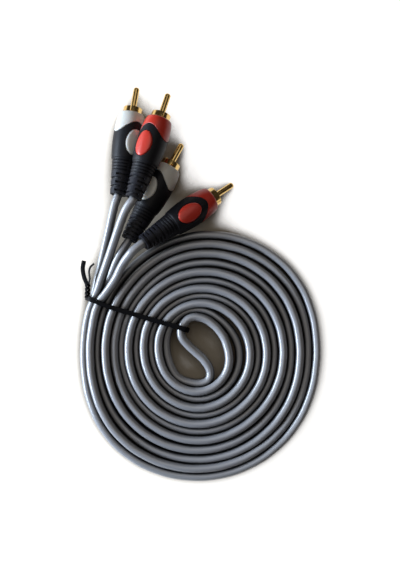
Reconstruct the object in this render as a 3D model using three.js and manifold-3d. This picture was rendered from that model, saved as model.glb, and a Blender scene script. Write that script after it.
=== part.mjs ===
// A stereo audio cable: grey twin lead wound into a flat coil and tied,
// with a white and a red moulded phono plug on each of its two ends.
// Millimetres, +Z up. The cable lies on a surface at z = 0.

import * as THREE from 'three';
import { mergeVertices } from 'three/addons/utils/BufferGeometryUtils.js';
import Module from 'manifold-3d';

// Clearance between pieces that meet, and the reach of a cutter past a surface
const clearance = 0.3;
const cutterReach = 4;

// Twin lead: two round conductors joined side by side
const conductorDiameter = 4.4;
const leadStraight = 3.5;
const leadSides = 10;
const leadStepLength = 4;
const leadStepsLeast = 6;

// Flat coil of the twin lead, standing on edge
const coilOuterRadius = 64;
const coilInnerRadius = 11.5;
const coilHeight = 11.3;
const coilEdgeRadius = 2.2;
const coilSegments = 48;

// Centre contact
const pinDiameter = 3.2;
const pinReach = 11.6;
const pinTipLength = 1.4;
const pinCupDiameter = 2.6;
const pinCupLength = 3;

// Slotted outer contact, measured back from its front rim
const shellDiameter = 10;
const shellWall = 0.8;
const shellProud = 3.2;
const shellLength = 13;
const shellSlotCount = 4;
const shellSlotWidth = 0.9;
const shellSlotLength = 5.5;
const shellTailWidth = 2.4;
const shellTailLength = 5;

// Insulator that holds the centre contact inside the outer contact
const insulatorFront = 8;
const insulatorLength = 4.4;

// Grip of the plug: a coloured core with a black skin moulded over it
const collarDiameter = 13.4;
const collarEdge = 1.2;
const collarRim = 0.4;
const gripDiameter = 15.5;
const gripWidest = 17;
const gripRearDiameter = 13.2;
const gripRear = 28.5;
const skinThickness = 1.2;
const coreLength = 24;
const wireDiameter = 3;

// Wavy front edge of the black skin: nearest the front over the ovals
const scallopPeak = 8.6;
const scallopValley = 14.8;

// Oval pads of the core that show through windows in the skin
const ovalCentre = 19.5;
const ovalLength = 13.6;
const ovalWidth = 9.2;
const ovalProud = 0.25;

// Flexible strain relief behind the grip
const neckDiameter = 12.4;
const bootEndDiameter = 8.3;
const bootEnd = 46.8;
const ringGrooveCount = 3;
const ringGrooveDepth = 0.35;
const ringGroovePitch = 1.7;
const ringGrooveWidth = 0.85;
const slotRowCount = 5;
const slotRowWidth = 1.1;
const slotRowPitch = 2.1;
const slotRowDepth = 1.1;
const slotRowSweep = 125;

// Smoothness of the turned and cut pieces
const turnSegments = 20;
const fineSegments = 12;
const gripStations = 5;
const innerStations = 2;

// Twist tie round the coil: a flat ribbon with its two ends twisted together.
// It crosses the coil at an angle, to one side of the coil's centre.
const tieWidth = 2.8;
const tieThickness = 0.9;
const tieAngle = 162;
const tieOffset = 11.3;
const tieInnerReach = 10.1;
const tieSlack = 1.2;
const tieOuterReach = coilOuterRadius + tieSlack;
const tieTwistWidth = 2.5;
const tieTwistLength = 7;
const tieTwistTurns = 1;
const tieTwistSteps = 12;
const tieTwistLean = [-0.04, 1, 0.1];
const tieEndSunk = 0.5;
const tieEndSteps = 3;
const tieEnds = [
  { width: tieWidth, length: 12, turns: 0.05, lean: [-0.2, 1, 0.12] },
  { width: 1.3, length: 11, turns: 0, lean: [0.24, 1, 0.22] }
];

// Where each plug lies: its shell's front rim, its heading from +Y towards +X,
// how far its front dips, and how far its oval is rolled towards the right
const plugs = [
  {
    name: 'white_1',
    colour: 'white',
    front: [-34.9, 129.3, 6.25],
    heading: 9.1,
    dip: 8,
    roll: 37,
    lead: [[-45.5, 72, 12.3], [-47.7, 64.5, 10.8], [-50.7, 54.1, 8.4], [-52.8, 46.5, 6.6], [-54.9, 38, 4.9]]
  },
  {
    name: 'red_1',
    colour: 'red',
    front: [-19.7, 124.8, 14.4],
    heading: 17.5,
    dip: 10,
    roll: -30,
    lead: [[-38.3, 72.4, 21.9], [-42.3, 64.9, 19.6], [-46.2, 54.9, 15.9], [-49.3, 46.6, 13], [-51.7, 42, 11.4]]
  },
  {
    name: 'white_2',
    colour: 'white',
    front: [-14.8, 101.1, 6.1],
    heading: 28.1,
    dip: 10,
    roll: -33,
    lead: [[-40.2, 54.2, 14.9], [-42, 50.9, 14.5], [-43.3, 48.4, 13.9]]
  },
  {
    name: 'red_2',
    colour: 'red',
    front: [8.2, 83.9, 5.55],
    heading: 55.4,
    dip: 17,
    roll: 6,
    lead: [[-34.2, 54.1, 20.3], [-36.6, 51.4, 19.2], [-38.6, 48.9, 17.9], [-41, 44.9, 16.1], [-43.2, 40.8, 13.9]]
  }
];

// Short stretch of the twin lead that crosses the coil's open centre
const centreStretch = [[-8.3, 6.9], [-5.2, 3.8], [-1.6, 0.6], [1.4, -2.5], [3.2, -5.6], [3.5, -9.6]];
const centreSteps = 10;

const wasm = await Module();
wasm.setup();

const materials = {
  jacket: new THREE.MeshStandardMaterial({ color: 0x8c8d90, roughness: 0.45, metalness: 0 }),
  skin: new THREE.MeshStandardMaterial({ color: 0x17171b, roughness: 0.6, metalness: 0 }),
  red: new THREE.MeshStandardMaterial({ color: 0xd23428, roughness: 0.4, metalness: 0 }),
  white: new THREE.MeshStandardMaterial({ color: 0xe6e2d8, roughness: 0.4, metalness: 0 }),
  gold: new THREE.MeshStandardMaterial({ color: 0xc9a050, roughness: 0.25, metalness: 1 }),
  insulator: new THREE.MeshStandardMaterial({ color: 0xece8dc, roughness: 0.5, metalness: 0 }),
  tie: new THREE.MeshStandardMaterial({ color: 0x141416, roughness: 0.5, metalness: 0 })
};

// Turns a closed geometry into a solid that can be joined and cut
function toSolid(geometry) {
  const bare = geometry.clone();
  bare.deleteAttribute('normal');
  bare.deleteAttribute('uv');
  const merged = mergeVertices(bare, 1e-4);
  const corners = merged.index.array;
  const triangles = [];
  for (let i = 0; i < corners.length; i += 3) {
    const [a, b, c] = [corners[i], corners[i + 1], corners[i + 2]];
    if (a !== b && b !== c && c !== a) triangles.push(a, b, c);
  }
  return new wasm.Manifold(new wasm.Mesh({
    numProp: 3,
    vertProperties: new Float32Array(merged.attributes.position.array),
    triVerts: new Uint32Array(triangles)
  }));
}

// Turns a solid back into a geometry with flat-shaded normals
function toGeometry(solid) {
  const mesh = solid.getMesh();
  const geometry = new THREE.BufferGeometry();
  geometry.setAttribute('position', new THREE.BufferAttribute(new Float32Array(mesh.vertProperties), 3));
  geometry.setIndex(new THREE.BufferAttribute(new Uint32Array(mesh.triVerts), 1));
  geometry.computeVertexNormals();
  return geometry;
}

// Solid of revolution round the plug's axis. Each station is
// [distance back from the shell's front rim, radius].
function turned(stations, segments = turnSegments) {
  const outline = stations.map(([back, radius]) => new THREE.Vector2(radius, -back));
  outline.reverse();
  return toSolid(new THREE.LatheGeometry(outline, segments));
}

// Cylinder along the plug's axis between two distances back
function rod(from, to, diameter, segments = turnSegments) {
  const radius = diameter / 2;
  return turned([[from, 0], [from, radius], [to, radius], [to, 0]], segments);
}

// Radius of the grip's outer surface along its length
const gripCurve = new THREE.SplineCurve([
  new THREE.Vector2(shellProud, collarDiameter / 2),
  new THREE.Vector2(gripWidest, gripDiameter / 2),
  new THREE.Vector2(gripRear, gripRearDiameter / 2)
]);

// Solid inside the grip's outer surface, moved in by inset
function gripBody(inset, stationCount = gripStations) {
  const points = gripCurve.getPoints(stationCount);
  const stations = points.map((point) => [point.x, point.y - inset]);
  return turned([[shellProud, 0], ...stations, [gripRear, 0]]);
}

// Solid that fills everything in front of the skin's wavy edge, moved back by shift
function inFrontOfScallop(shift) {
  const reach = gripDiameter;
  const innerRadius = 2;
  const middle = (scallopPeak + scallopValley) / 2;
  const stations = [[-cutterReach, 0], [-cutterReach, reach], [middle, reach], [middle, innerRadius], [middle, 0]];
  const outline = stations.map(([back, radius]) => new THREE.Vector2(radius, -back)).reverse();
  const geometry = new THREE.LatheGeometry(outline, turnSegments);
  const position = geometry.attributes.position;
  for (let i = 0; i < position.count; i += 1) {
    const x = position.getX(i);
    const z = position.getZ(i);
    const radius = Math.hypot(x, z);
    if (position.getY(i) < 0 && radius > innerRadius / 2) {
      const side = (x / radius) ** 2;
      const back = scallopPeak + (scallopValley - scallopPeak) * side + shift;
      position.setY(i, -back);
    }
  }
  return toSolid(geometry);
}

// Oval column square to the plug's axis, out of both grip faces, grown by extra
function ovalColumn(extra) {
  const outline = new THREE.Shape();
  outline.absellipse(0, -ovalCentre, ovalWidth / 2 + extra, ovalLength / 2 + extra, 0, Math.PI * 2);
  const geometry = new THREE.ExtrudeGeometry(outline, {
    depth: gripDiameter * 2,
    bevelEnabled: false,
    curveSegments: turnSegments * 0.8
  });
  geometry.translate(0, 0, -gripDiameter);
  return toSolid(geometry);
}

// Part of a ring round the plug's axis, from one distance back to another
function ringSector(from, length, innerRadius, outerRadius, startAngle, sweepAngle) {
  const start = THREE.MathUtils.degToRad(startAngle);
  const end = start + THREE.MathUtils.degToRad(sweepAngle);
  const outline = new THREE.Shape();
  outline.absarc(0, 0, outerRadius, start, end, false);
  outline.absarc(0, 0, innerRadius, end, start, true);
  const geometry = new THREE.ExtrudeGeometry(outline, {
    depth: length,
    bevelEnabled: false,
    curveSegments: 3
  });
  geometry.rotateX(Math.PI / 2);
  geometry.translate(0, -from, 0);
  return toSolid(geometry);
}

// Centre contact: round-nosed pin with a solder cup behind the insulator
function centrePin() {
  const radius = pinDiameter / 2;
  const cupRadius = pinCupDiameter / 2;
  const cupFront = insulatorFront + insulatorLength + clearance;
  const stations = [[-pinReach, 0]];
  const tipSteps = 4;
  for (let i = 1; i <= tipSteps; i += 1) {
    const turn = (i / tipSteps) * Math.PI / 2;
    stations.push([-pinReach + pinTipLength * (1 - Math.cos(turn)), radius * Math.sin(turn)]);
  }
  stations.push([cupFront, radius], [cupFront, cupRadius], [cupFront + pinCupLength, cupRadius]);
  stations.push([cupFront + pinCupLength, 0]);
  return toGeometry(turned(stations, fineSegments));
}

// Insulator disc with the pin's hole
function insulator() {
  const boreDiameter = shellDiameter - 2 * shellWall;
  const disc = rod(insulatorFront, insulatorFront + insulatorLength, boreDiameter - 2 * clearance);
  const hole = rod(0, shellLength + cutterReach, pinDiameter + 2 * clearance, fineSegments);
  return toGeometry(disc.subtract(hole));
}

// Outer contact: slotted tube with a tail for the screen
function groundShell() {
  const boreDiameter = shellDiameter - 2 * shellWall;
  const bore = rod(-cutterReach, shellLength + cutterReach, boreDiameter);
  let shell = rod(0, shellLength, shellDiameter).subtract(bore);
  for (let i = 0; i < shellSlotCount; i += 1) {
    const slot = new THREE.BoxGeometry(shellSlotWidth, shellSlotLength * 2, shellDiameter);
    slot.translate(0, 0, shellDiameter / 2);
    slot.rotateY((i + 0.5) * (Math.PI * 2) / shellSlotCount);
    shell = shell.subtract(toSolid(slot));
  }
  const tail = new THREE.BoxGeometry(shellTailWidth, shellTailLength, shellWall);
  const tailMiddle = shellLength - clearance + shellTailLength / 2;
  tail.translate(0, -tailMiddle, boreDiameter / 2 - clearance / 2);
  return toGeometry(shell.add(toSolid(tail)));
}

// Coloured core: collar in front of the skin, barrel under it, and the oval pads
function colourCore() {
  const coreRear = shellProud + coreLength;
  const collarEnd = -clearance / 2;
  const rounding = turned([
    [shellProud, 0],
    [shellProud, collarDiameter / 2 - collarEdge],
    [shellProud + collarRim, collarDiameter / 2 - collarRim],
    [shellProud + collarEdge, collarDiameter / 2],
    [shellProud + collarEdge, gripDiameter],
    [bootEnd, gripDiameter],
    [bootEnd, 0]
  ]);
  const collar = gripBody(0).intersect(inFrontOfScallop(collarEnd));
  const barrelLimit = rod(shellProud, coreRear, gripDiameter);
  const barrel = gripBody(skinThickness + clearance, innerStations).intersect(barrelLimit);
  const pads = ovalColumn(-clearance / 2).intersect(gripBody(-ovalProud)).intersect(barrelLimit);
  const shellSeat = rod(0, shellLength + clearance, shellDiameter + 2 * clearance);
  const tailRoomLength = shellLength + shellTailLength;
  const tailRoom = rod(shellLength, tailRoomLength, shellDiameter, fineSegments);
  const wireHole = rod(shellLength, bootEnd, wireDiameter + 2 * clearance, fineSegments);
  const solid = collar.add(barrel).add(pads).intersect(rounding);
  return toGeometry(solid.subtract(shellSeat).subtract(tailRoom).subtract(wireHole));
}

// Black skin and strain relief, moulded in one piece
function boot() {
  const neckRadius = neckDiameter / 2;
  const endRadius = bootEndDiameter / 2;
  const taper = (endRadius - neckRadius) / (bootEnd - gripRear);
  const neckRadiusAt = (back) => neckRadius + taper * (back - gripRear);
  const neckRoot = gripRear - skinThickness;
  const stations = [[neckRoot, 0], [neckRoot, neckRadius]];
  const lip = ringGrooveWidth / 2;
  for (let i = 0; i < ringGrooveCount; i += 1) {
    const back = gripRear + ringGrooveWidth + ringGroovePitch * i;
    stations.push([back - lip, neckRadiusAt(back - lip)]);
    stations.push([back, neckRadiusAt(back) - ringGrooveDepth]);
    stations.push([back + lip, neckRadiusAt(back + lip)]);
  }
  stations.push([bootEnd, endRadius], [bootEnd, 0]);
  let solid = gripBody(0).add(turned(stations));
  const cavityRear = rod(-cutterReach, shellProud + coreLength + clearance, gripDiameter);
  solid = solid.subtract(gripBody(skinThickness, innerStations).intersect(cavityRear));
  solid = solid.subtract(inFrontOfScallop(clearance / 2));
  solid = solid.subtract(ovalColumn(clearance / 2).intersect(cavityRear));
  solid = solid.subtract(rod(0, bootEnd + cutterReach, wireDiameter + 2 * clearance, fineSegments));
  for (let row = 0; row < slotRowCount; row += 1) {
    const back = bootEnd - slotRowPitch * (slotRowCount - row);
    const outer = neckRadius;
    const inner = neckRadiusAt(back + slotRowWidth) - slotRowDepth;
    for (const half of [0, 180]) {
      const middle = half + (row % 2) * 90;
      const start = middle - slotRowSweep / 2;
      solid = solid.subtract(ringSector(back, slotRowWidth, inner, outer, start, slotRowSweep));
    }
  }
  return toGeometry(solid);
}

// Insulated signal wire from the pin's cup to the end of the boot
function signalWire() {
  const front = insulatorFront + insulatorLength + pinCupLength + 2 * clearance;
  return toGeometry(rod(front, bootEnd - clearance, wireDiameter, fineSegments));
}

// Round lead from the boot's end face to the outside of the coil
function leadTube(plug, placement) {
  const exit = bootEnd + clearance;
  const straight = [exit, exit + leadStraight];
  const firstPoints = straight.map((back) => new THREE.Vector3(0, -back, 0).applyMatrix4(placement));
  const points = plug.lead.map((point) => new THREE.Vector3(...point));
  const path = new THREE.CatmullRomCurve3([...firstPoints, ...points]);
  const section = new THREE.Shape();
  section.absarc(0, 0, conductorDiameter / 2, 0, Math.PI * 2);
  return new THREE.ExtrudeGeometry(section, {
    steps: Math.max(leadStepsLeast, Math.round(path.getLength() / leadStepLength)),
    extrudePath: path,
    curveSegments: leadSides / 2
  });
}

// Both conductors side by side, as one outline that stands on edge
function twinSection() {
  const radius = conductorDiameter / 2;
  const section = new THREE.Shape();
  section.absarc(radius, 0, radius, -Math.PI / 2, Math.PI / 2);
  section.absarc(-radius, 0, radius, Math.PI / 2, Math.PI * 1.5);
  return section;
}

// Stretch of the twin lead across the open centre of the coil
function centreTube() {
  const height = conductorDiameter + clearance;
  const path = new THREE.CatmullRomCurve3(centreStretch.map(([x, y]) => new THREE.Vector3(x, y, height)));
  return new THREE.ExtrudeGeometry(twinSection(), {
    steps: centreSteps,
    extrudePath: path,
    curveSegments: leadSides / 4
  });
}

// Box in the tie's own frame: x along the tie's top run, y across it
function tieBox(fromX, toX, width, fromZ, toZ) {
  const geometry = new THREE.BoxGeometry(toX - fromX, width, toZ - fromZ);
  geometry.translate((fromX + toX) / 2, -tieOffset, (fromZ + toZ) / 2);
  geometry.rotateZ(THREE.MathUtils.degToRad(tieAngle));
  return toSolid(geometry);
}

// Outer shape of the coil, with room for the tie through its centre and under it
function coil() {
  const low = coilEdgeRadius;
  const high = coilHeight - coilEdgeRadius;
  const corners = [
    [coilOuterRadius - coilEdgeRadius, low, -90],
    [coilOuterRadius - coilEdgeRadius, high, 0],
    [coilInnerRadius + coilEdgeRadius, high, 90],
    [coilInnerRadius + coilEdgeRadius, low, 180]
  ];
  const cornerSteps = 2;
  const outline = [];
  for (const [x, y, startAngle] of corners) {
    for (let i = 0; i <= cornerSteps; i += 1) {
      const angle = THREE.MathUtils.degToRad(startAngle + 90 * i / cornerSteps);
      outline.push(new THREE.Vector2(
        x + coilEdgeRadius * Math.cos(angle),
        y + coilEdgeRadius * Math.sin(angle)
      ));
    }
  }
  outline.push(outline[0].clone());
  const geometry = new THREE.LatheGeometry(outline, coilSegments);
  geometry.rotateX(Math.PI / 2);
  const room = clearance + tieThickness / 2;
  const grooveDepth = tieThickness + 2 * clearance;
  const grooveWidth = tieWidth + 2 * clearance;
  const start = tieInnerReach - room;
  const groove = tieBox(start, coilOuterRadius + cutterReach, grooveWidth, -cutterReach, grooveDepth);
  const shaft = tieBox(start, tieInnerReach + room, grooveWidth, -cutterReach, coilHeight + cutterReach);
  return toGeometry(toSolid(geometry).subtract(groove).subtract(shaft));
}

const upward = new THREE.Vector3(0, 0, 1);

// Flat bar that turns about its length as it rises from z = 0
function twistedBar(width, thickness, length, turns, steps) {
  const geometry = new THREE.BoxGeometry(width, thickness, length, 1, 1, steps);
  geometry.translate(0, 0, length / 2);
  const position = geometry.attributes.position;
  const corner = new THREE.Vector3();
  for (let i = 0; i < position.count; i += 1) {
    corner.fromBufferAttribute(position, i);
    corner.applyAxisAngle(upward, (corner.z / length) * turns * Math.PI * 2);
    position.setXYZ(i, corner.x, corner.y, corner.z);
  }
  return geometry;
}

// Turns a geometry that rises from z = 0 along a direction, and sets it on a point
function placedAlong(geometry, direction, point) {
  geometry.applyQuaternion(new THREE.Quaternion().setFromUnitVectors(upward, direction));
  return geometry.translate(point.x, point.y, point.z);
}

// Twist tie: a closed loop of flat ribbon, the twist, and two free ends
function twistTie() {
  const bottom = clearance;
  const top = coilHeight + clearance + tieThickness;
  const half = tieThickness / 2;
  const outer = tieBox(tieInnerReach - half, tieOuterReach + half, tieWidth, bottom, top);
  const inner = tieBox(
    tieInnerReach + half,
    tieOuterReach - half,
    tieWidth + cutterReach,
    bottom + tieThickness,
    top - tieThickness
  );
  const loop = outer.subtract(inner);
  const knotRoot = new THREE.Vector3(tieOuterReach + half, -tieOffset, top / 2 + conductorDiameter / 2);
  knotRoot.applyAxisAngle(upward, THREE.MathUtils.degToRad(tieAngle));
  knotRoot.y -= tieWidth / 2;
  const twistLean = new THREE.Vector3(...tieTwistLean).normalize();
  const knotEnd = knotRoot.clone().addScaledVector(twistLean, tieTwistLength - tieEndSunk);
  const twist = twistedBar(tieTwistWidth, tieThickness * 2, tieTwistLength, tieTwistTurns, tieTwistSteps);
  let solid = loop.add(toSolid(placedAlong(twist, twistLean, knotRoot)));
  for (const end of tieEnds) {
    const strip = twistedBar(end.width, tieThickness, end.length, end.turns, tieEndSteps);
    const endLean = new THREE.Vector3(...end.lean).normalize();
    solid = solid.add(toSolid(placedAlong(strip, endLean, knotEnd)));
  }
  return toGeometry(solid);
}

function named(name, geometry, material) {
  const mesh = new THREE.Mesh(geometry, material);
  mesh.name = name;
  return mesh;
}

const cable = new THREE.Group();

const pieces = {
  centre_pin: centrePin(),
  insulator: insulator(),
  ground_shell: groundShell(),
  colour_core: colourCore(),
  boot: boot(),
  signal_wire: signalWire()
};

for (const plug of plugs) {
  const group = new THREE.Group();
  group.position.set(...plug.front);
  group.rotation.set(
    THREE.MathUtils.degToRad(-plug.dip),
    THREE.MathUtils.degToRad(plug.roll),
    THREE.MathUtils.degToRad(-plug.heading),
    'ZXY'
  );
  group.updateMatrix();
  group.add(
    named(`${plug.name}_centre_pin`, pieces.centre_pin, materials.gold),
    named(`${plug.name}_insulator`, pieces.insulator, materials.insulator),
    named(`${plug.name}_ground_shell`, pieces.ground_shell, materials.gold),
    named(`${plug.name}_colour_core`, pieces.colour_core, materials[plug.colour]),
    named(`${plug.name}_boot`, pieces.boot, materials.skin),
    named(`${plug.name}_signal_wire`, pieces.signal_wire, materials.insulator)
  );
  cable.add(group);
  cable.add(named(`${plug.name}_lead`, leadTube(plug, group.matrix), materials.jacket));
}

cable.add(named('coil', coil(), materials.jacket));
cable.add(named('centre_stretch', centreTube(), materials.jacket));
cable.add(named('twist_tie', twistTie(), materials.tie));

// The origin is under the middle of the whole cable, on the surface that it lies on
const box = new THREE.Box3().setFromObject(cable, true);
const middle = box.getCenter(new THREE.Vector3());
cable.position.set(-middle.x, -middle.y, -box.min.z);
cable.updateMatrixWorld(true);

export default cable;
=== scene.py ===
# A stereo audio cable seen from above: grey twin lead wound into a flat coil and tied,
# with a white and a red moulded phono plug on each of its two ends.

import math

import bmesh
import bpy
from mathutils import Matrix, Vector


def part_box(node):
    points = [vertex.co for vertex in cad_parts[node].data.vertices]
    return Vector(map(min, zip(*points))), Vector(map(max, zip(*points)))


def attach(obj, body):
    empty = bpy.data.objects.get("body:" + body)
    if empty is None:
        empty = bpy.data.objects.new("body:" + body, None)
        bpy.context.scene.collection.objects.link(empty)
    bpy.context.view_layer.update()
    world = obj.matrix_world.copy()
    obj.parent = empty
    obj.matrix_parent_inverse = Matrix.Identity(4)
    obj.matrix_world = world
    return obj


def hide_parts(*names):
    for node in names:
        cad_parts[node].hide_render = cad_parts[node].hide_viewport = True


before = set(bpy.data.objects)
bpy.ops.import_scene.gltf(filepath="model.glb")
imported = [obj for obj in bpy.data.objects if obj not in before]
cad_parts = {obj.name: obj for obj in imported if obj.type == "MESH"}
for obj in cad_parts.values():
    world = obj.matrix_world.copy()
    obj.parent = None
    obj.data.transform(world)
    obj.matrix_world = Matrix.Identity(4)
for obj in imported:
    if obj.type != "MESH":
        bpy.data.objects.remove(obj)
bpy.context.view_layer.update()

mm = 0.001

# The coil's middle on the surface, which every plan point below is measured from
coil_low, coil_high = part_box("coil")
coil_middle = Vector(((coil_low[0] + coil_high[0]) / 2, (coil_low[1] + coil_high[1]) / 2, 0))

# Twin lead: two round conductors, one on top of the other while they are wound
conductor_diameter = 4.4
conductor_radius = conductor_diameter / 2

# Radius of the coil's first arm, one row for each turn and one value for each eighth of a turn,
# clockwise from the right. The second arm runs half way between its turns.
arm_radii = [
    14.7, 16.0, 18.0, 19.6, 21.7, 25.7, 27.8, 26.6,
    25.5, 25.4, 26.6, 27.4, 29.5, 33.3, 35.5, 35.3,
    34.1, 33.7, 34.9, 35.8, 37.5, 40.8, 44.1, 44.5,
    42.7, 42.1, 43.5, 43.9, 45.0, 48.6, 53.6, 54.0,
    51.4, 52.0, 53.6, 54.6, 54.0, 57.8, 63.2, 64.3,
    60.2, 61.2, 62.7, 63.7, 60.9, 65.4, 68.0,
]
arm_middle = (0.47, -0.15)

# How far each arm rides above the surface, one value for each quarter turn:
# the arms nest, and they change places in the outer turns
first_arm_lifts = [2.4] * 13 + [2.2, 1.6, 1.9, 2.4, 0.8, 0.0, 0.5, 1.9, 0.5, 0.1, 0.2]
second_arm_lifts = [0.0] * 11 + [0.2, 0.2, 1.5, 2.8, 2.0, 0.5, 2.0, 2.7, 2.7]
first_arm_end = 6.56
second_arm_end = 5.58
steps_per_turn = 24

# The lead's way across the open centre, from the first arm to the second, with its lift
centre_route = [
    (14.1, 5.5, 2.4), (12.3, 10.1, 2.4), (9.5, 14.1, 2.4), (6.6, 16.9, 2.4), (3.5, 19.0, 2.4),
    (0.2, 20.2, 2.4), (-3.0, 20.5, 2.4), (-5.7, 19.7, 2.4), (-7.8, 17.9, 2.3), (-9.2, 15.8, 2.2),
    (-9.9, 13.5, 2.1), (-9.8, 11.2, 2.0), (-9.1, 9.3, 1.9), (-7.4, 7.1, 1.7), (-5.2, 4.8, 1.5),
    (-2.1, 2.0, 1.2), (1.0, -0.9, 0.9), (3.5, -4.0, 0.7), (4.8, -6.4, 0.5), (5.4, -8.9, 0.3),
    (4.9, -11.7, 0.2), (2.7, -13.7, 0.1), (-1.4, -14.5, 0), (-5.5, -13.9, 0), (-9.1, -12.8, 0),
    (-12.1, -10.9, 0), (-15.0, -6.6, 0), (-16.8, -1.6, 0), (-17.6, 3.0, 0), (-17.6, 8.4, 0),
    (-16.3, 13.5, 0), (-13.7, 18.1, 0), (-9.6, 21.8, 0), (-3.6, 24.0, 0), (3.4, 23.3, 0),
    (9.8, 19.5, 0), (15.5, 13.8, 0), (19.4, 6.9, 0),
]

# Each plug: its shell's front rim, its heading from +Y towards +X, how far its front dips
# and its oval is rolled to the right, and the way of its lead from the boot to the coil
plugs = {
    "white_1": {
        "colour": "white",
        "front": (-34.9, 129.3, 6.25),
        "heading": 9.1,
        "dip": 8,
        "roll": 37,
        "lead": [
            (-43.6, 79.3, 13.0), (-44.6, 75.7, 12.8), (-45.8, 70.6, 12.1), (-48.3, 60.4, 10.1),
            (-51.0, 50.1, 7.9), (-53.7, 39.7, 5.4), (-56.0, 30.6, 3.3),
        ],
    },
    "red_1": {
        "colour": "red",
        "front": (-19.7, 124.8, 14.4),
        "heading": 17.5,
        "dip": 10,
        "roll": -30,
        "lead": [
            (-35.2, 78.2, 22.6), (-37.4, 74.9, 21.9), (-39.7, 70.0, 20.3), (-43.5, 60.1, 17.0),
            (-47.3, 50.0, 13.5), (-50.9, 40.7, 10.8), (-53.2, 34.5, 9.2), (-54.9, 30.2, 8.3),
        ],
    },
    "white_2": {
        "colour": "white",
        "front": (-14.8, 101.1, 6.1),
        "heading": 28.1,
        "dip": 10,
        "roll": -33,
        "lead": [
            (-40.2, 54.2, 14.9), (-42, 50.9, 14.5), (-43.3, 48.4, 13.9),
            (-45.3, 44.2, 12.0), (-47.6, 39.2, 9.3), (-50.0, 33.4, 7.0),
        ],
    },
    "red_2": {
        "colour": "red",
        "front": (8.2, 83.9, 5.55),
        "heading": 55.4,
        "dip": 17,
        "roll": 6,
        "lead": [
            (-34.2, 54.1, 20.3), (-36.6, 51.4, 19.2), (-38.6, 48.9, 17.9),
            (-41, 44.9, 16.1), (-43.2, 40.8, 14.0), (-46.2, 36.2, 12.2), (-49.3, 32.0, 11.0),
        ],
    },
}

# Plug sizes, measured back from the shell's front rim
pin_diameter = 3.2
pin_reach = 11.6
pin_cup_diameter = 2.6
pin_cup_end = 15.7
insulator_end = 12.7
shell_diameter = 10
shell_wall = 0.8
shell_length = 13
shell_slot_count = 4
shell_slot_width = 0.9
shell_slot_length = 5.5
shell_proud = 3.2
collar_diameter = 13.4
collar_edge = 1.2
grip_diameter = 15.5
grip_widest = 17
grip_rear_diameter = 13.2
grip_rear = 28.5
skin_thickness = 1.2
scallop_peak = 8.6
scallop_valley = 14.8
oval_centre = 19.5
oval_length = 13.6
oval_width = 9.2
oval_proud = 0.25
neck_diameter = 12.4
boot_end_diameter = 8.3
boot_end = 46.8
clearance = 0.15
lead_inside_boot = 0.6
lead_straight = 0.9

# Strain relief: fine rings first, then bands with bridges between them
ring_groove_count = 4
ring_groove_depth = 0.45
ring_groove_pitch = 1.6
band_count = 6
band_pitch = 2.1
band_width = 1.05
band_depth = 1.1
bridge_sweep = 52

# Twist tie: a closed loop round the coil, a twisted knot on its outer side, and two free ends.
# Between two of its points the loop runs under the coil, which rises over it there.
tie_width = 2.4
tie_thickness = 0.7
tie_run = [
    (-58.5, 30.2, 8.5), (-57.6, 30.0, 11.3), (-54.0, 28.7, 12.5), (-45.9, 25.5, 12.7),
    (-34.9, 22.3, 12.6), (-27.5, 20.0, 12.5), (-18.6, 17.5, 12.5), (-11.8, 15.6, 12.5),
    (-7.2, 13.9, 12.2), (-5.9, 13.4, 10), (-5.9, 13.3, 6), (-6.0, 13.3, 2.0),
    (-7.4, 13.8, 0.7), (-12, 15.3, 0.5), (-35, 22.3, 0.5), (-55, 29.2, 0.5),
    (-59.0, 30.4, 1.2), (-59.9, 30.6, 3.6), (-59.3, 30.5, 7.4),
]
tie_side = (0.31, 0.95, 0)
under_coil_first, under_coil_last = 12, 15
coil_rise = 0.8
coil_rise_reach = 7
knot_from, knot_to = (-58.6, 30.6, 8.2), (-58.3, 37.8, 9.2)
knot_turns = 1.75
knot_radius = 0.6
strand_width = 1.9
strand_thickness = 0.9
wide_end = [(-58.5, 37.2, 9.2), (-60.1, 41.2, 9.6), (-60.8, 45.6, 9.8), (-60.1, 49.7, 10.1)]
narrow_end = [
    (-58.1, 37.2, 9.4), (-57.1, 40.2, 10.2), (-57.3, 43.8, 11.2), (-56.6, 46.3, 11.8), (-54.6, 48.1, 12.2),
]
narrow_width = 1.4


def placed(x, y, z):
    """A point in metres in the frame, from millimetres round the coil's middle"""
    return coil_middle + Vector((x, y, z)) * mm


def between(before, start, end, after, along):
    """Value part of the way from start to end, on a smooth curve through these and their neighbours"""
    return 0.5 * (
        2 * start
        + (end - before) * along
        + (2 * before - 5 * start + 4 * end - after) * along ** 2
        + (3 * start - before - 3 * end + after) * along ** 3
    )


def eased(values, place):
    """Smooth curve through values, read at a place between two of them"""
    last = len(values) - 1
    first = min(max(math.floor(place), 0), last - 1)
    picks = [values[min(max(first + step, 0), last)] for step in (-1, 0, 1, 2)]
    return between(*picks, place - first)


def first_arm_radius(turn):
    """Distance of the first arm from the coil's middle, after a number of turns"""
    return eased(arm_radii, (turn - 1) * 8)


def second_arm_radius(turn):
    """Distance of the second arm, which runs half way between the first one's turns"""
    return (first_arm_radius(turn) + first_arm_radius(turn + 1)) / 2


tie_near = Vector(tie_run[under_coil_first][:2])
tie_far = Vector(tie_run[under_coil_last][:2])


def rise_over_tie(x, y):
    """How far a conductor is lifted by the tie's strand under it"""
    along = tie_far - tie_near
    place = Vector((x, y)) - tie_near
    share = min(max(place.dot(along) / along.length_squared, 0), 1)
    gap = (place - along * share).length
    return coil_rise * math.exp(-(gap / coil_rise_reach) ** 2)


def arm_point(radius, lift, turn):
    """Place of the lower conductor's middle on an arm, after a number of turns"""
    angle = -2 * math.pi * turn
    x = arm_middle[0] + radius * math.cos(angle)
    y = arm_middle[1] + radius * math.sin(angle)
    return x, y, lift + conductor_radius


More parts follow.
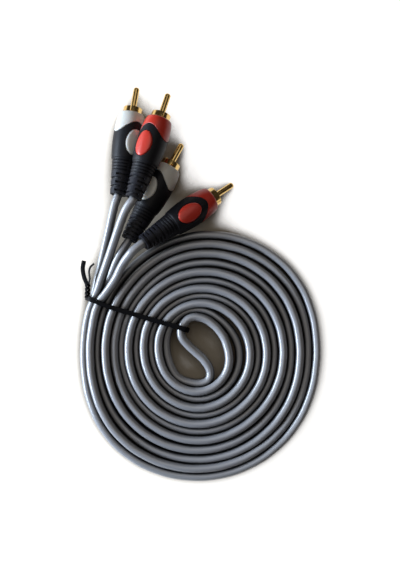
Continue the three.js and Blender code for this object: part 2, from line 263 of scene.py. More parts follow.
def wound_route():
    """Way of the lower conductor through the coil, from the first arm's end to the second's"""
    points = []
    steps = round((first_arm_end - 1) * steps_per_turn)
    for step in range(steps + 1):
        turn = first_arm_end - (first_arm_end - 1) * step / steps
        lift = eased(first_arm_lifts, (turn - 1) * 4)
        points.append(arm_point(first_arm_radius(turn), lift, turn))
    points += [(x, y, lift + conductor_radius) for x, y, lift in centre_route]
    steps = round((second_arm_end - 1) * steps_per_turn)
    for step in range(steps + 1):
        turn = 1 + (second_arm_end - 1) * step / steps
        lift = eased(second_arm_lifts, (turn - 1) * 4)
        points.append(arm_point(second_arm_radius(turn), lift, turn))
    return [(x, y, z + rise_over_tie(x, y)) for x, y, z in points]


def placement(plug):
    """Where a plug lies: its own frame has the pin towards +Y and the ovals towards +Z and -Z"""
    turn = Matrix.Rotation(math.radians(-plug["heading"]), 4, "Z")
    dip = Matrix.Rotation(math.radians(-plug["dip"]), 4, "X")
    roll = Matrix.Rotation(math.radians(plug["roll"]), 4, "Y")
    return Matrix.Translation(placed(*plug["front"])) @ turn @ dip @ roll


def on_axis(plug, back):
    """Point on a plug's axis, in metres in the frame"""
    return placement(plug) @ Vector((0, -back * mm, 0))


def lead_route(plug):
    """Way of a single lead from inside its boot to the coil"""
    points = [on_axis(plug, back) for back in (boot_end - lead_inside_boot, boot_end + lead_straight)]
    return points + [placed(*point) for point in plug["lead"]]


# Materials

def link(tree, start, output, end, entry):
    """Joins an output of one node to an input of another"""
    tree.links.new(start.outputs[output], end.inputs[entry])


def moulding_grain():
    """Fine unevenness of a moulded surface: colour mottle, roughness and a shallow bump"""
    tree = bpy.data.node_groups.new("moulding grain", "ShaderNodeTree")
    sockets = [
        ("Colour", "INPUT", "NodeSocketColor", None),
        ("Mottle", "INPUT", "NodeSocketFloat", 0.06),
        ("Mottle Size", "INPUT", "NodeSocketFloat", 120),
        ("Roughness", "INPUT", "NodeSocketFloat", 0.4),
        ("Roughness Change", "INPUT", "NodeSocketFloat", 0.08),
        ("Grain Size", "INPUT", "NodeSocketFloat", 2500),
        ("Grain Depth", "INPUT", "NodeSocketFloat", 0.00002),
        ("Colour", "OUTPUT", "NodeSocketColor", None),
        ("Roughness", "OUTPUT", "NodeSocketFloat", None),
        ("Normal", "OUTPUT", "NodeSocketVector", None),
    ]
    for name, direction, kind, value in sockets:
        socket = tree.interface.new_socket(name, in_out=direction, socket_type=kind)
        if value is not None:
            socket.default_value = value
    nodes = tree.nodes
    entry = nodes.new("NodeGroupInput")
    result = nodes.new("NodeGroupOutput")
    place = nodes.new("ShaderNodeTexCoord")
    patches = nodes.new("ShaderNodeTexNoise")
    grain = nodes.new("ShaderNodeTexNoise")
    patches.inputs["Detail"].default_value = 3
    grain.inputs["Detail"].default_value = 2
    link(tree, place, "Object", patches, "Vector")
    link(tree, place, "Object", grain, "Vector")
    link(tree, entry, "Mottle Size", patches, "Scale")
    link(tree, entry, "Grain Size", grain, "Scale")

    signed = nodes.new("ShaderNodeMath")
    signed.operation = "SUBTRACT"
    signed.inputs[1].default_value = 0.5
    link(tree, patches, "Fac", signed, 0)

    shade = nodes.new("ShaderNodeMath")
    shade.operation = "MULTIPLY_ADD"
    shade.inputs[2].default_value = 1
    link(tree, signed, 0, shade, 0)
    link(tree, entry, "Mottle", shade, 1)
    mottled = nodes.new("ShaderNodeVectorMath")
    mottled.operation = "SCALE"
    link(tree, entry, "Colour", mottled, 0)
    link(tree, shade, 0, mottled, "Scale")
    link(tree, mottled, 0, result, "Colour")

    uneven = nodes.new("ShaderNodeMath")
    uneven.operation = "MULTIPLY_ADD"
    link(tree, signed, 0, uneven, 0)
    link(tree, entry, "Roughness Change", uneven, 1)
    link(tree, entry, "Roughness", uneven, 2)
    link(tree, uneven, 0, result, "Roughness")

    bump = nodes.new("ShaderNodeBump")
    link(tree, grain, "Fac", bump, "Height")
    link(tree, entry, "Grain Depth", bump, "Distance")
    link(tree, bump, "Normal", result, "Normal")
    return tree


grain_group = moulding_grain()


def moulded(name, colour, grain_values, shader_values):
    """A material of moulded plastic or plated metal, with the grain group and fixed shader values"""
    material = bpy.data.materials.new(name)
    material.use_nodes = True
    tree = material.node_tree
    shader = tree.nodes["Principled BSDF"]
    grain = tree.nodes.new("ShaderNodeGroup")
    grain.node_tree = grain_group
    grain.inputs["Colour"].default_value = (*colour, 1)
    for socket, value in grain_values.items():
        grain.inputs[socket].default_value = value
    for socket, value in shader_values.items():
        shader.inputs[socket].default_value = value
    link(tree, grain, "Colour", shader, "Base Color")
    link(tree, grain, "Roughness", shader, "Roughness")
    link(tree, grain, "Normal", shader, "Normal")
    return material


def scaled_colour(material, source, output, span, gains):
    """Scales a material's colour by a gain that changes over a span of the source's values"""
    tree = material.node_tree
    shader = tree.nodes["Principled BSDF"]
    share = tree.nodes.new("ShaderNodeMapRange")
    share.inputs["From Min"].default_value, share.inputs["From Max"].default_value = span
    share.inputs["To Min"].default_value, share.inputs["To Max"].default_value = gains
    link(tree, source, output, share, "Value")
    scaled = tree.nodes.new("ShaderNodeVectorMath")
    scaled.operation = "SCALE"
    tree.links.new(shader.inputs["Base Color"].links[0].from_socket, scaled.inputs[0])
    link(tree, share, "Result", scaled, "Scale")
    link(tree, scaled, "Vector", shader, "Base Color")


def painted_crease_shade(material, reach, darkest_painted_shade):
    """Paints shade into a material's colour: darker where its surface is hemmed in, in creases and between
    turns, where shade falls
    """
    hemmed_in, open_out = 0.42, 0.98
    painted_shade_openness = material.node_tree.nodes.new("ShaderNodeAmbientOcclusion")
    painted_shade_openness.samples = 8
    painted_shade_openness.inputs["Distance"].default_value = reach * mm
    scaled_colour(material, painted_shade_openness, "AO", (hemmed_in, open_out), (darkest_painted_shade, 1))


def painted_edge_glints(material, glint_gain):
    """Paints highlights into a material's colour: lighter along its outer edges, standing in for glints
    there
    """
    nearly_flat, edged = 0.52, 0.62
    surface = material.node_tree.nodes.new("ShaderNodeNewGeometry")
    scaled_colour(material, surface, "Pointiness", (nearly_flat, edged), (1, glint_gain))


jacket = moulded(
    "grey vinyl jacket",
    (0.315, 0.318, 0.338),
    {"Mottle": 0.08, "Mottle Size": 90, "Roughness": 0.32, "Grain Size": 1800, "Grain Depth": 0.00001},
    {"IOR": 1.9},
)
# Painted shade: the jacket's colour darkens in the creases and gaps between turns, where shade falls
painted_crease_shade(jacket, 10, 0.06)
skin = moulded(
    "black moulded skin",
    (0.006, 0.006, 0.008),
    {"Mottle": 0.3, "Roughness": 0.5, "Roughness Change": 0.12, "Grain Size": 3500, "Grain Depth": 0.00003},
    {"IOR": 1.5, "Specular IOR Level": 0.2},
)
# Painted highlight: the skin's colour lightens along the edges of its rings and bands, in place of glints
painted_edge_glints(skin, 2.6)
red_plastic = moulded(
    "red moulded core",
    (0.56, 0.036, 0.02),
    {"Mottle": 0.1, "Roughness": 0.36, "Grain Size": 3000},
    {"IOR": 1.5},
)
white_plastic = moulded(
    "white moulded core",
    (0.67, 0.655, 0.61),
    {"Mottle": 0.05, "Roughness": 0.36, "Grain Size": 3000},
    {"IOR": 1.5, "Subsurface Weight": 0.4, "Subsurface Radius": (1, 0.85, 0.65), "Subsurface Scale": 0.004},
)
gold = moulded(
    "gold plating",
    (0.73, 0.495, 0.19),
    {"Mottle": 0.12, "Mottle Size": 400, "Roughness": 0.2, "Roughness Change": 0.12, "Grain Depth": 0.00001},
    {"Metallic": 1.0},
)
insulator_plastic = moulded("insulator plastic", (0.8, 0.77, 0.68), {"Roughness": 0.4}, {"IOR": 1.5})
tie_plastic = moulded(
    "black tie plastic",
    (0.002, 0.002, 0.003),
    {"Mottle": 0.2, "Roughness": 0.5, "Roughness Change": 0.15},
    {"IOR": 1.5, "Specular IOR Level": 0.1},
)


# Shapes in a plug's own frame

def grip_radius(back):
    """Radius of the grip's outer surface"""
    values = [
        (shell_proud, collar_diameter / 2),
        (grip_widest, grip_diameter / 2),
        (grip_rear, grip_rear_diameter / 2),
    ]
    (a, ra), (b, rb), (c, rc) = values
    return (
        ra * (back - b) * (back - c) / ((a - b) * (a - c))
        + rb * (back - a) * (back - c) / ((b - a) * (b - c))
        + rc * (back - a) * (back - b) / ((c - a) * (c - b))
    )


def neck_radius(back):
    """Radius of the strain relief, which tapers towards its end"""
    share = (back - grip_rear) / (boot_end - grip_rear)
    return (neck_diameter + (boot_end_diameter - neck_diameter) * share) / 2


def scallop(angle):
    """Distance back of the skin's wavy front edge, nearest the front over the ovals"""
    return scallop_peak + (scallop_valley - scallop_peak) * math.cos(angle) ** 2


def skinned(shape, rings, closed=False):
    """Joins rings of points by faces that point outwards, with the two ends capped or joined"""
    pairs = list(zip(rings, rings[1:]))
    if closed:
        pairs.append((rings[-1], rings[0]))
    for ring, following in pairs:
        for place in range(len(ring)):
            other = (place + 1) % len(ring)
            shape.faces.new((ring[place], ring[other], following[other], following[place]))
    if not closed:
        shape.faces.new(rings[0])
        shape.faces.new(list(reversed(rings[-1])))
    bmesh.ops.recalc_face_normals(shape, faces=shape.faces)
    return shape


def lathe(rows, sides):
    """Closed shell from rows of (back, radius), each a value or a function of the angle"""
    shape = bmesh.new()
    rings = []
    for back, radius in rows:
        ring = []
        for side in range(sides):
            angle = 2 * math.pi * side / sides
            at = back(angle) if callable(back) else back
            size = radius(angle, at) if callable(radius) else radius
            point = Vector((size * math.cos(angle), -at, size * math.sin(angle))) * mm
            ring.append(shape.verts.new(point))
        rings.append(ring)
    return skinned(shape, rings)


def as_object(name, shape, material):
    """A mesh object from a bmesh, shown smooth, with one material"""
    mesh = bpy.data.meshes.new(name)
    shape.to_mesh(mesh)
    shape.free()
    piece = bpy.data.objects.new(name, mesh)
    bpy.context.scene.collection.objects.link(piece)
    mesh.materials.append(material)
    mesh.shade_smooth()
    return piece


def baked(piece):
    """Applies a piece's modifiers to its mesh"""
    graph = bpy.context.evaluated_depsgraph_get()
    mesh = bpy.data.meshes.new_from_object(piece.evaluated_get(graph))
    piece.modifiers.clear()
    piece.data = mesh
    return piece


def cut(piece, cutter):
    """Cuts one closed piece by another, which is then removed"""
    modifier = piece.modifiers.new("cut", "BOOLEAN")
    modifier.operation = "DIFFERENCE"
    modifier.solver = "EXACT"
    modifier.object = cutter
    baked(piece)
    bpy.data.objects.remove(cutter)
    return piece


def joined(target, *others):
    """Adds the others' faces to the target's mesh and removes the others"""
    shape = bmesh.new()
    shape.from_mesh(target.data)
    for other in others:
        shape.from_mesh(other.data)
        bpy.data.objects.remove(other)
    shape.to_mesh(target.data)
    shape.free()
    return target


def crisp(piece, angle=35):
    """Smooth shading that keeps edges sharper than the angle"""
    piece.data.shade_smooth()
    piece.data.set_sharp_from_angle(angle=math.radians(angle))
    return piece


# Sides of a fine round shape, and the radius of the small cap that closes a lathed one on its axis
sides_round = 72
cap_radius = 0.3


def oval_window(extra):
    """Oval column through both faces of the grip"""
    shape = bmesh.new()
    low, high = [], []
    for side in range(sides_round):
        angle = 2 * math.pi * side / sides_round
        x = (oval_width / 2 + extra) * math.cos(angle) * mm
        y = (-oval_centre + (oval_length / 2 + extra) * math.sin(angle)) * mm
        low.append(shape.verts.new((x, y, -grip_diameter * mm)))
        high.append(shape.verts.new((x, y, grip_diameter * mm)))
    return as_object("oval window", skinned(shape, [low, high]), skin)


def relief_tree():
    """Bands along the boot, joined by two bridges in each gap, which turn by a quarter each time"""
    tree = bpy.data.node_groups.new("strain relief bands", "GeometryNodeTree")
    entries = [
        ("Band Count", "NodeSocketInt", band_count),
        ("Pitch", "NodeSocketFloat", band_pitch * mm),
        ("Band Width", "NodeSocketFloat", band_width * mm),
        ("Depth", "NodeSocketFloat", band_depth * mm),
        ("First Back", "NodeSocketFloat", 0.0),
        ("First Radius", "NodeSocketFloat", 0.0),
        ("Last Radius", "NodeSocketFloat", 0.0),
        ("Bridge Sweep", "NodeSocketFloat", math.radians(bridge_sweep)),
        ("Material", "NodeSocketMaterial", None),
    ]
    for name, kind, value in entries:
        socket = tree.interface.new_socket(name, in_out="INPUT", socket_type=kind)
        if value is not None:
            socket.default_value = value
    tree.interface.new_socket("Geometry", in_out="OUTPUT", socket_type="NodeSocketGeometry")
    nodes = tree.nodes
    entry = nodes.new("NodeGroupInput")
    result = nodes.new("NodeGroupOutput")

    def maths(operation, first, second, third=None):
        """A sum on numbers or other nodes' outputs"""
        node = nodes.new("ShaderNodeMath")
        node.operation = operation
        for place, value in enumerate((first, second, third)):
            if isinstance(value, tuple):
                tree.links.new(value[0].outputs[value[1]], node.inputs[place])
            elif value is not None:
                node.inputs[place].default_value = value
        return node, 0

    def vector(x, y, z):
        """A vector of numbers or other nodes' outputs"""
        node = nodes.new("ShaderNodeCombineXYZ")
        for place, value in enumerate((x, y, z)):
            if isinstance(value, tuple):
                tree.links.new(value[0].outputs[value[1]], node.inputs[place])
            else:
                node.inputs[place].default_value = value
        return node, 0

    def put(value, node, socket):
        """Joins a node's output, given as the node and its socket, to an input"""
        tree.links.new(value[0].outputs[value[1]], node.inputs[socket])

    pitch, width = (entry, "Pitch"), (entry, "Band Width")
    index = (nodes.new("GeometryNodeInputIndex"), 0)
    last = maths("SUBTRACT", (entry, "Band Count"), 1)
    mean = maths("MULTIPLY", maths("ADD", (entry, "First Radius"), (entry, "Last Radius")), 0.5)
    unit_depth = maths("DIVIDE", (entry, "Depth"), mean)

    def profile(axial):
        """Rectangular section of a band, which reaches inwards from unit radius"""
        shape = nodes.new("GeometryNodeCurvePrimitiveQuadrilateral")
        put(unit_depth, shape, "Width")
        put(axial, shape, "Height")
        move = nodes.new("GeometryNodeTransform")
        put((shape, 0), move, "Geometry")
        put(vector(maths("MULTIPLY", unit_depth, -0.5), 0, 0), move, "Translation")
        return move, 0

    def swept(curve, axial):
        """A band or bridge at unit radius, turned so that its axis lies along Y"""
        sweep = nodes.new("GeometryNodeCurveToMesh")
        put(curve, sweep, "Curve")
        put(profile(axial), sweep, "Profile Curve")
        sweep.inputs["Fill Caps"].default_value = True
        tip = nodes.new("GeometryNodeTransform")
        put((sweep, 0), tip, "Geometry")
        tip.inputs["Rotation"].default_value = (math.pi / 2, 0, 0)
        return tip, 0

    def line(count, start):
        """Points along the boot's axis, from a distance back, a pitch apart"""
        points = nodes.new("GeometryNodeMeshLine")
        put(count, points, "Count")
        put(vector(0, maths("MULTIPLY", start, -1), 0), points, "Start Location")
        put(vector(0, maths("MULTIPLY", pitch, -1), 0), points, "Offset")
        return points, 0

    def radius_at(shift):
        """Radius at each point of a line, between the first and last bands' radii"""
        share = maths("DIVIDE", maths("ADD", index, shift), last)
        span = maths("SUBTRACT", (entry, "Last Radius"), (entry, "First Radius"))
        return maths("MULTIPLY_ADD", share, span, (entry, "First Radius"))

    circle = nodes.new("GeometryNodeCurvePrimitiveCircle")
    circle.inputs["Resolution"].default_value = sides_round
    circle.inputs["Radius"].default_value = 1
    bands = nodes.new("GeometryNodeInstanceOnPoints")
    put(line((entry, "Band Count"), (entry, "First Back")), bands, "Points")
    put(swept((circle, 0), width), bands, "Instance")
    band_radius = radius_at(0)
    put(vector(band_radius, 1, band_radius), bands, "Scale")

    bridge_overlap = 1.05
    gap = maths("SUBTRACT", maths("MULTIPLY", pitch, bridge_overlap), width)
    arcs = nodes.new("GeometryNodeJoinGeometry")
    for start in (0, math.pi):
        arc = nodes.new("GeometryNodeCurveArc")
        arc.inputs["Resolution"].default_value = 12
        arc.inputs["Radius"].default_value = 1
        put(maths("MULTIPLY_ADD", (entry, "Bridge Sweep"), -0.5, start), arc, "Start Angle")
        put((entry, "Bridge Sweep"), arc, "Sweep Angle")
        put(swept((arc, 0), gap), arcs, 0)
    bridges = nodes.new("GeometryNodeInstanceOnPoints")
    middle = maths("MULTIPLY_ADD", pitch, 0.5, (entry, "First Back"))
    put(line(last, middle), bridges, "Points")
    put((arcs, 0), bridges, "Instance")
    bridge_radius = radius_at(0.5)
    put(vector(bridge_radius, 1, bridge_radius), bridges, "Scale")
    quarter = maths("MULTIPLY", maths("MODULO", index, 2), math.pi / 2)
    put(vector(0, quarter, 0), bridges, "Rotation")

    everything = nodes.new("GeometryNodeJoinGeometry")
    put((bands, 0), everything, 0)
    put((bridges, 0), everything, 0)
    real = nodes.new("GeometryNodeRealizeInstances")
    put((everything, 0), real, "Geometry")
    finish = nodes.new("GeometryNodeSetMaterial")
    put((real, 0), finish, "Geometry")
    put((entry, "Material"), finish, "Material")
    put((finish, 0), result, "Geometry")
    return tree


relief_start = boot_end - band_width / 2 - band_pitch * (band_count - 1)


def relief_bands():
    """The bands of one boot as a mesh"""
    piece = as_object("relief bands", bmesh.new(), skin)
    modifier = piece.modifiers.new("bands", "NODES")
    tree = relief_tree()
    modifier.node_group = tree
    values = {
        "First Back": relief_start * mm,
        "First Radius": neck_radius(relief_start) * mm,
        "Last Radius": neck_radius(boot_end - band_width / 2) * mm,
        "Material": skin,
    }
    for socket in tree.interface.items_tree:
        if socket.name in values:
            modifier[socket.identifier] = values[socket.name]
    return baked(piece)


def boot_skin():
    """Black skin over the grip, with its wavy edge and oval windows, and the strain relief"""
    rows = []

    def inner(angle, back):
        return grip_radius(back) - skin_thickness

    def outer(drop):
        return lambda angle, back: grip_radius(back) - drop

    rear_wall, inner_step = 2, 4
    rows.append((grip_rear - rear_wall, cap_radius))
    rows.append((grip_rear - rear_wall, inner))
    rows.append((lambda angle: scallop(angle) + inner_step, inner))
    rows.append((lambda angle: scallop(angle) + clearance, inner))
    edge_steps, edge_round = 3, 0.35
    for step in range(edge_steps + 1):
        turn = math.pi / 2 * step / edge_steps
        shift = clearance + edge_round * (1 - math.sin(turn))
        drop = edge_round * (1 - math.cos(math.pi / 2 - turn))
        rows.append((lambda angle, shift=shift: scallop(angle) + shift, outer(drop)))
    grip_steps, start_share, shoulder = 16, 0.04, 0.5
    for step in range(grip_steps + 1):
        share = start_share + (1 - start_share) * step / grip_steps
        rows.append((
            lambda angle, share=share: scallop(angle) + (grip_rear - shoulder - scallop(angle)) * share,
            outer(0),
        ))
    for shift, drop in ((-0.15, 0.1), (0, 0.35)):
        rows.append((grip_rear + shift, grip_rear_diameter / 2 - drop))
    step_width = 0.1
    rows.append((grip_rear + step_width, neck_radius(grip_rear)))
    lip = ring_groove_pitch / 4
    for ring in range(ring_groove_count):
        back = grip_rear + ring_groove_pitch * (ring + 0.75)
        for shift, share in ((-1, 0), (-0.4, 0.8), (0, 1), (0.4, 0.8), (1, 0)):
            rows.append((back + lip * shift, neck_radius(back) - ring_groove_depth * share))
    bands_from = relief_start - band_width / 2
    under_bands = band_depth * 0.9
    end_inset, mouth_depth = 0.3, 2.5
    mouth = conductor_radius + 0.1
    rows.append((bands_from, neck_radius(bands_from)))
    rows.append((bands_from + step_width, neck_radius(bands_from) - under_bands))
    rows.append((boot_end - end_inset, neck_radius(boot_end) - under_bands))
    rows.append((boot_end - end_inset, mouth))
    rows.append((boot_end - mouth_depth, mouth))
    rows.append((boot_end - mouth_depth, cap_radius))
    piece = as_object("boot skin", lathe(rows, sides_round * 2), skin)
    cut(piece, oval_window(clearance))
    return crisp(joined(piece, relief_bands()))


def oval_pad(face):
    """One oval pad of the core, slightly domed and proud of the skin, on the +Z or -Z face"""
    shape = bmesh.new()
    rings = []
    profile = [(0.02, 0), (0.4, 0), (0.7, 0), (0.86, 0), (0.94, 0.05), (0.985, 0.16), (1, 0.34), (1, 1.4)]
    for share, drop in profile:
        ring = []
        for side in range(sides_round):
            angle = 2 * math.pi * side / sides_round
            x = (oval_width / 2 - clearance) * share * math.cos(angle)
            back = oval_centre - (oval_length / 2 - clearance) * share * math.sin(angle)
            radius = grip_radius(back) + oval_proud - drop
            height = math.sqrt(radius ** 2 - x ** 2)
            ring.append(shape.verts.new((x * mm, -back * mm, face * height * mm)))
        rings.append(ring)
    return skinned(shape, rings)


def colour_core(material):
    """Coloured core: collar in front of the skin, barrel under it, and two oval pads"""
    def outer(angle, back):
        return grip_radius(back)

    def barrel(angle, back):
        return grip_radius(back) - skin_thickness - clearance

    bore_end, bore_radius = shell_length + 1, shell_diameter / 2 + clearance
    bore_chamfer, rim_radius = 0.3, shell_diameter / 2 + 0.5
    rows = [(bore_end, cap_radius), (bore_end, bore_radius)]
    rows += [(shell_proud + bore_chamfer, bore_radius), (shell_proud, rim_radius)]
    edge_steps = 5
    for step in range(edge_steps + 1):
        turn = math.pi / 2 * step / edge_steps
        back = shell_proud + collar_edge * (1 - math.cos(turn))
        rows.append((back, collar_diameter / 2 - collar_edge * (1 - math.sin(turn))))
    front = shell_proud + collar_edge
    collar_steps, seam = 5, 0.2
    for step in range(1, collar_steps + 1):
        share = step / collar_steps
        rows.append((
            lambda angle, share=share: front + (scallop(angle) - clearance - seam - front) * share,
            outer,
        ))
    rows.append((lambda angle: scallop(angle) - clearance, lambda angle, back: grip_radius(back) - seam))
    rows.append((lambda angle: scallop(angle) - clearance, barrel))
    barrel_end = grip_rear - 2.3
    rows += [(barrel_end, barrel), (barrel_end, cap_radius)]
    core = as_object("colour core", lathe(rows, sides_round), material)
    pads = [as_object("oval pad", oval_pad(face), material) for face in (1, -1)]
    return crisp(joined(core, *pads))


def centre_pin():
    """Centre contact with its rounded tip, and its solder cup behind the insulator"""
    radius, tip_length, cap, sides = pin_diameter / 2, 1.4, 0.1, 32
    rows = [(-pin_reach, cap)]
    tip_steps = 8
    for step in range(1, tip_steps + 1):
        turn = math.pi / 2 * step / tip_steps
        rows.append((-pin_reach + tip_length * (1 - math.cos(turn)), radius * math.sin(turn)))
    rows += [(insulator_end, radius), (insulator_end, pin_cup_diameter / 2)]
    rows += [(pin_cup_end, pin_cup_diameter / 2), (pin_cup_end, cap)]
    return crisp(as_object("centre pin", lathe(rows, sides), gold))


def ground_shell():
    """Outer contact: tube with rounded front lip and slots"""
    outer, inner = shell_diameter / 2, shell_diameter / 2 - shell_wall
    shape = bmesh.new()
    profile = [
        (0, inner + 0.15), (0, outer - 0.3), (0.1, outer - 0.1), (0.35, outer), (shell_length, outer),
        (shell_length, inner), (0.15, inner),
    ]
    rings = []
    for side in range(sides_round):
        angle = 2 * math.pi * side / sides_round
        rings.append([
            shape.verts.new((radius * math.cos(angle) * mm, -back * mm, radius * math.sin(angle) * mm))
            for back, radius in profile
        ])
    piece = as_object("ground shell", skinned(shape, rings, closed=True), gold)
    for slot in range(shell_slot_count):
        angle = (slot + 0.5) * 2 * math.pi / shell_slot_count
        box = bmesh.new()
        bmesh.ops.create_cube(box, size=1)
        size = Vector((shell_slot_width, shell_slot_length * 2, shell_diameter)) * mm
        bmesh.ops.scale(box, vec=size, verts=box.verts)
        bmesh.ops.translate(box, vec=(0, 0, shell_diameter / 2 * mm), verts=box.verts)
        bmesh.ops.rotate(box, matrix=Matrix.Rotation(angle, 3, "Y"), verts=box.verts)
        cut(piece, as_object("shell slot", box, gold))
    return crisp(piece)


def copy_at(template, name, matrix, node):
    """A copy of a plug piece, placed in the frame, that stands for its CAD node"""
    piece = bpy.data.objects.new(name, template.data.copy())
    bpy.context.scene.collection.objects.link(piece)
    piece.data.transform(matrix)
    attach(piece, "root")
    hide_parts(node)
    return piece


templates = {
    "boot": boot_skin(),
    "centre_pin": centre_pin(),
    "ground_shell": ground_shell(),
    "white": colour_core(white_plastic),
    "red": colour_core(red_plastic),
}
for plug_name, plug in plugs.items():
    matrix = placement(plug)
    for node, template, slot_name in (
        ("boot", "boot", "black_skin"),
        ("centre_pin", "centre_pin", "gold"),
        ("ground_shell", "ground_shell", "gold"),
        ("colour_core", plug["colour"], plug["colour"] + "_core"),
    ):
        full = f"{plug_name}_{node}"
        copy_at(templates[template], f"{full}_fine", matrix, full)
    for node in ("insulator", "signal_wire"):
        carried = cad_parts[f"{plug_name}_{node}"]
        carried.data.materials.clear()
        carried.data.materials.append(insulator_plastic)
for template in templates.values():
    bpy.data.objects.remove(template)


# Cords

def round_lead(name, points):
    """A round conductor along points in the frame, as one open smooth curve"""
    curve = bpy.data.curves.new(name, "CURVE")
    curve.dimensions = "3D"
    curve.bevel_depth = conductor_radius * mm
    curve.bevel_resolution = 6
    curve.resolution_u = 6
    curve.use_fill_caps = True
    spline = curve.splines.new("BEZIER")
    spline.bezier_points.add(len(points) - 1)
    for knot, point in zip(spline.bezier_points, points):
        knot.co = point
        knot.handle_left_type = "AUTO"
        knot.handle_right_type = "AUTO"
    curve.materials.append(jacket)
    lead = bpy.data.objects.new(name, curve)
    bpy.context.scene.collection.objects.link(lead)
    return lead


wound = wound_route()
channels = {
    "white": (0, "white_1", "white_2", ["white_1_lead", "white_2_lead", "coil"]),
    "red": (conductor_diameter, "red_1", "red_2", ["red_1_lead", "red_2_lead", "centre_stretch"]),
}
for colour, (level, start, end, stood_for) in channels.items():
    route = lead_route(plugs[start])
    route += [placed(x, y, z + level) for x, y, z in wound]
    route += reversed(lead_route(plugs[end]))
    lead = round_lead(f"{colour}_channel", route)
    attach(lead, "root")
    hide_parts(*stood_for)


# Twist tie

def ribbon(path, width, thickness, twist, closed, side):
    """Flat strip with rounded edges and a wire ridge along its middle, swept along points in the frame"""
    shares = [
        (-1, 0), (-0.9, 0.55), (-0.35, 0.6), (0, 1), (0.35, 0.6), (0.9, 0.55),
        (1, 0), (0.9, -0.55), (0.35, -0.6), (0, -1), (-0.35, -0.6), (-0.9, -0.55),
    ]
    section = [(u * width / 2 * mm, v * thickness / 2 * mm) for u, v in shares]
    shape = bmesh.new()
    rings = []
    for place, point in enumerate(path):
        ahead = path[(place + 1) % len(path)] if closed else path[min(place + 1, len(path) - 1)]
        behind = path[place - 1] if closed else path[max(place - 1, 0)]
        tangent = (ahead - behind).normalized()
        across = (side - tangent * side.dot(tangent)).normalized()
        across.rotate(Matrix.Rotation(twist * 2 * math.pi * place / (len(path) - 1), 3, tangent))
        up = tangent.cross(across)
        rings.append([shape.verts.new(point + across * u + up * v) for u, v in section])
    return skinned(shape, rings, closed)


def smooth_path(points, closed=False):
    """Points in the frame along a smooth curve through points round the coil's middle"""
    samples = 5
    points = [placed(*point) for point in points]
    count = len(points)
    path = []
    for place in range(count if closed else count - 1):
        spots = [place + step for step in (-1, 0, 1, 2)]
        picks = [points[at % count] if closed else points[min(max(at, 0), count - 1)] for at in spots]
        path += [between(*picks, sample / samples) for sample in range(samples)]
    if not closed:
        path.append(points[-1])
    return path


def knot_strand(turn):
    """One of the knot's two strands, which wind round each other"""
    steps = 24
    start, end = placed(*knot_from), placed(*knot_to)
    strand = []
    for step in range(steps + 1):
        angle = turn + 2 * math.pi * knot_turns * step / steps
        around = Vector((math.cos(angle), 0, math.sin(angle))) * knot_radius * mm
        strand.append(start.lerp(end, step / steps) + around)
    return ribbon(strand, strand_width, strand_thickness, knot_turns, False, Vector((1, 0, 0.4)))


def twist_tie():
    """Loop of ribbon round the coil, the twisted knot on its outer side, and two free ends"""
    loop = ribbon(smooth_path(tie_run, True), tie_width, tie_thickness, 0, True, Vector(tie_side))
    strips = [
        knot_strand(0),
        knot_strand(math.pi),
        ribbon(smooth_path(wide_end), tie_width, tie_thickness, 0.03, False, Vector((1, 0.1, 0.3))),
        ribbon(smooth_path(narrow_end), narrow_width, tie_thickness, 0.06, False, Vector((0.5, 0, 0.8))),
    ]
    piece = as_object("twist_tie_fine", loop, tie_plastic)
    return crisp(joined(piece, *[as_object("tie strip", strip, tie_plastic) for strip in strips]), 50)


tie = twist_tie()
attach(tie, "root")
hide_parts("twist_tie")


# Stage, light and camera

# White added to the floor that the camera sees, over what its own colour reflects. It fades where the cable
# hems the floor in, which paints shade there
floor_lift = 1.0


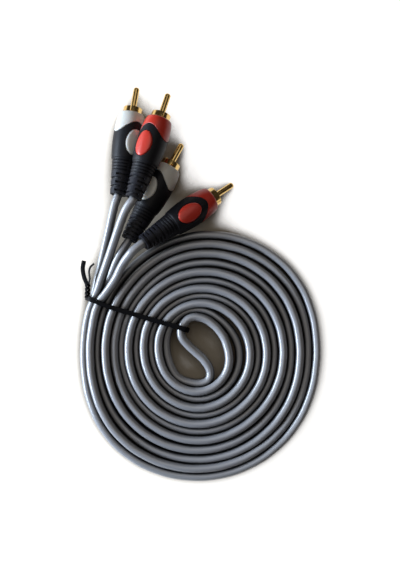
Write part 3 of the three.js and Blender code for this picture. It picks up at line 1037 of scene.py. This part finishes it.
def floor():
    """Plain surface under the cable: white to the camera where it lies open, with real soft shadows and
    painted shade where the cable hems it in
    """
    shape = bmesh.new()
    reach = 3
    corners = [shape.verts.new((x * reach, y * reach, 0)) for x, y in ((-1, -1), (1, -1), (1, 1), (-1, 1))]
    shape.faces.new(corners)
    material = bpy.data.materials.new("pale floor")
    material.use_nodes = True
    tree = material.node_tree
    nodes = tree.nodes
    pale = nodes["Principled BSDF"]
    pale.inputs["Base Color"].default_value = (0.33, 0.28, 0.215, 1)
    pale.inputs["Roughness"].default_value = 0.9
    pale.inputs["Specular IOR Level"].default_value = 0.1
    bounce = nodes.new("ShaderNodeBsdfDiffuse")
    bounce.inputs["Color"].default_value = (0.10, 0.085, 0.07, 1)

    # Painted shade: the added white fades where the cable hems the floor in, in the coil's eyes and between
    # the leads
    reach_of_shade, covered, uncovered = 30, 0.52, 0.76
    painted_shade_openness = nodes.new("ShaderNodeAmbientOcclusion")
    painted_shade_openness.inputs["Distance"].default_value = reach_of_shade * mm
    painted_shade_openness.samples = 16
    lift = nodes.new("ShaderNodeMapRange")
    lift.interpolation_type = "SMOOTHSTEP"
    lift.inputs["From Min"].default_value = covered
    lift.inputs["From Max"].default_value = uncovered
    lift.inputs["To Max"].default_value = floor_lift
    link(tree, painted_shade_openness, "AO", lift, "Value")
    glow = nodes.new("ShaderNodeEmission")
    link(tree, lift, "Result", glow, "Strength")
    lit = nodes.new("ShaderNodeAddShader")
    link(tree, pale, "BSDF", lit, 0)
    link(tree, glow, "Emission", lit, 1)

    rays = nodes.new("ShaderNodeLightPath")
    seen = nodes.new("ShaderNodeMath")
    seen.operation = "ADD"
    link(tree, rays, "Is Camera Ray", seen, 0)
    link(tree, rays, "Is Glossy Ray", seen, 1)
    any_seen = nodes.new("ShaderNodeMath")
    any_seen.operation = "ADD"
    any_seen.use_clamp = True
    link(tree, seen, 0, any_seen, 0)
    link(tree, rays, "Is Transmission Ray", any_seen, 1)
    mixed = nodes.new("ShaderNodeMixShader")
    link(tree, any_seen, 0, mixed, "Fac")
    link(tree, bounce, "BSDF", mixed, 1)
    link(tree, lit, "Shader", mixed, 2)
    link(tree, mixed, "Shader", nodes["Material Output"], "Surface")
    piece = as_object("floor", shape, material)


def softbox(name, place, size, power, colour):
    """Rectangular area lamp that faces the frame's origin"""
    lamp = bpy.data.lights.new(name, "AREA")
    lamp.shape = "RECTANGLE"
    lamp.size, lamp.size_y = size
    lamp.energy = power
    lamp.color = colour
    holder = bpy.data.objects.new(name, lamp)
    holder.location = place
    holder.rotation_euler = (-Vector(place)).to_track_quat("-Z", "Y").to_euler()
    bpy.context.scene.collection.objects.link(holder)


floor()
softbox("window light", (-1.71, 0.0, 0.44), (1.6, 0.5), 68, (0.82, 0.955, 1.13))
softbox("high window light", (-0.8, 0.1, 0.8), (0.7, 0.7), 1, (0.95, 0.97, 1.0))
softbox("ceiling light", (0.0, 0.3, 1.0), (1.0, 1.0), 2.2, (1.0, 0.95, 0.88))


def room():
    """Weak warm light from all round, and plain white where the camera looks past the floor"""
    world = bpy.data.worlds.new("room")
    world.use_nodes = True
    tree = world.node_tree
    warm = tree.nodes["Background"]
    warm.inputs["Color"].default_value = (1, 0.9, 0.79, 1)
    warm.inputs["Strength"].default_value = 0.04
    white = tree.nodes.new("ShaderNodeBackground")
    white.inputs["Color"].default_value = (1, 1, 1, 1)
    rays = tree.nodes.new("ShaderNodeLightPath")
    mixed = tree.nodes.new("ShaderNodeMixShader")
    link(tree, rays, "Is Camera Ray", mixed, "Fac")
    link(tree, warm, "Background", mixed, 1)
    link(tree, white, "Background", mixed, 2)
    link(tree, mixed, "Shader", tree.nodes["World Output"], "Surface")
    bpy.context.scene.world = world


room()

# The camera looks straight down, over the middle of what the photograph shows
camera_height = 450
frame_height = 302.1
frame_middle = (0, 37.1)
sensor_width = 36
camera_data = bpy.data.cameras.new("camera")
camera_data.sensor_width = sensor_width
camera_data.lens = sensor_width * camera_height / frame_height
camera = bpy.data.objects.new("camera", camera_data)
camera.location = placed(*frame_middle, camera_height)
bpy.context.scene.collection.objects.link(camera)
bpy.context.scene.camera = camera

bpy.context.scene.view_settings.view_transform = "Standard"
